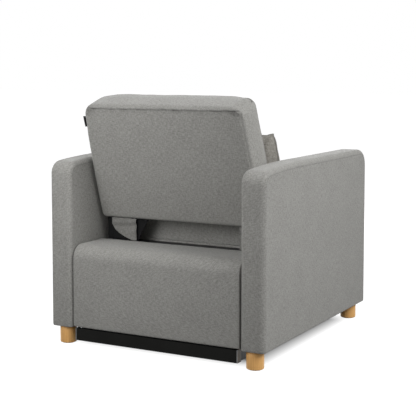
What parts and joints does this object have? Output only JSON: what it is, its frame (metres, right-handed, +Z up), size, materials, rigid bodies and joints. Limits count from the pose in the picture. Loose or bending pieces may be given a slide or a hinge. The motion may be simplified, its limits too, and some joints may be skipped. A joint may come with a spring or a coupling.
{
  "type": "convertible chair bed",
  "caption": "Upholstered armchair that becomes a single bed: the back folds flat over a rear box and a padded section pulls out in front.",
  "frame": {"origin": "on the floor under the middle of the chair, closed and upright", "axes": "+Z up, the sitter faces -Y, +X towards the sitter's left arm"},
  "size_m": [0.8, 0.876, 0.8401],
  "materials": {
    "upholstery": "woven",
    "seat_fabric": "woven",
    "bed_fabric": "woven",
    "pillow_fabric": "woven",
    "leg_wood": "satin lacquer",
    "frame_wood": "raw",
    "slat_wood": "raw",
    "zinc_steel": "zinc plated",
    "grey_steel": "satin",
    "black_steel": "powder coat",
    "black_panel": "black film",
    "wheel_rubber": "matt",
    "bumper_rubber": "matt",
    "webbing": "woven tape"
  },
  "bodies": {
    "frame": {"arm_cover_left": "upholstery", "arm_cover_right": "upholstery", "arm_frame_left": "frame_wood", "arm_frame_right": "frame_wood", "leg_front_left": "leg_wood", "leg_front_right": "leg_wood", "leg_rear_left": "leg_wood", "leg_rear_right": "leg_wood", "leg_bolts": "zinc_steel", "frame_bolts": "zinc_steel", "rear_box_cover": "upholstery", "rear_box_frame": "frame_wood", "stop_bumpers": "bumper_rubber", "seat_rail_left": "frame_wood", "seat_rail_right": "frame_wood", "seat_rail_front": "frame_wood", "seat_rail_rear": "frame_wood", "seat_slats": "slat_wood", "seat_front_panel": "upholstery", "seat_rear_panel": "upholstery", "seat_pad": "seat_fabric", "hinge_tube": "black_steel", "hinge_bracket_left": "black_steel", "hinge_bracket_right": "black_steel", "hinge_pin_left": "zinc_steel", "hinge_pin_right": "zinc_steel", "hinge_flap_left": "upholstery", "hinge_flap_right": "upholstery"},
    "back": {"back_cushion": "upholstery", "back_panel": "frame_wood", "back_batten_left": "frame_wood", "back_batten_right": "frame_wood", "hinge_arm_left": "black_steel", "hinge_arm_right": "black_steel", "side_tag": "webbing"},
    "pillow": {"pillow": "pillow_fabric"},
    "pullout": {"carriage_beam_left": "black_steel", "carriage_beam_right": "black_steel", "carriage_cross_front": "black_steel", "carriage_cross_middle": "black_steel", "carriage_cross_rear": "black_steel", "tail_panel": "black_panel", "tail_flange_left": "grey_steel", "tail_flange_right": "grey_steel", "front_cover": "upholstery", "front_board": "frame_wood", "pull_tab": "webbing", "deck_board": "frame_wood", "deck_rail_left": "black_steel", "deck_rail_right": "black_steel", "bed_pad": "bed_fabric", "lift_links": "black_steel", "link_pins": "zinc_steel", "castor_axles": "zinc_steel"},
    "wheel_front_left": {"wheel_front_left": "wheel_rubber"},
    "wheel_front_right": {"wheel_front_right": "wheel_rubber"},
    "wheel_rear_left": {"wheel_rear_left": "wheel_rubber"},
    "wheel_rear_right": {"wheel_rear_right": "wheel_rubber"}
  },
  "joints": [
    {"name": "back_recline", "type": "hinge", "parent": "frame", "child": "back", "pos_m": [0, 0.1931, 0.4134], "axis": [-1, 0, 0], "range_deg": [0, 71.6], "deforming": ["hinge_flap_left", "hinge_flap_right"]},
    {"name": "pillow_lift", "type": "slide", "parent": "back", "child": "pillow", "axis": [0, -0.9489, 0.3156], "range_m": [0, 0.25]},
    {"name": "bed_pull_out", "type": "slide", "parent": "frame", "child": "pullout", "axis": [0, -1, 0], "range_m": [0, 0.66]},
    {"name": "wheel_front_left_roll", "type": "hinge", "parent": "pullout", "child": "wheel_front_left", "pos_m": [0, -0.35, 0.0203], "axis": [1, 0, 0], "range_deg": [0, 1892]},
    {"name": "wheel_front_right_roll", "type": "hinge", "parent": "pullout", "child": "wheel_front_right", "pos_m": [0, -0.35, 0.0203], "axis": [1, 0, 0], "range_deg": [0, 1892]},
    {"name": "wheel_rear_left_roll", "type": "hinge", "parent": "pullout", "child": "wheel_rear_left", "pos_m": [0, 0.33, 0.0203], "axis": [1, 0, 0], "range_deg": [0, 1892]},
    {"name": "wheel_rear_right_roll", "type": "hinge", "parent": "pullout", "child": "wheel_rear_right", "pos_m": [0, 0.33, 0.0203], "axis": [1, 0, 0], "range_deg": [0, 1892]}
  ],
  "couplings": [
    {"joint": "wheel_front_left_roll", "follows": "bed_pull_out", "rad_per_m": 50},
    {"joint": "wheel_front_right_roll", "follows": "bed_pull_out", "rad_per_m": 50},
    {"joint": "wheel_rear_left_roll", "follows": "bed_pull_out", "rad_per_m": 50},
    {"joint": "wheel_rear_right_roll", "follows": "bed_pull_out", "rad_per_m": 50}
  ]
}
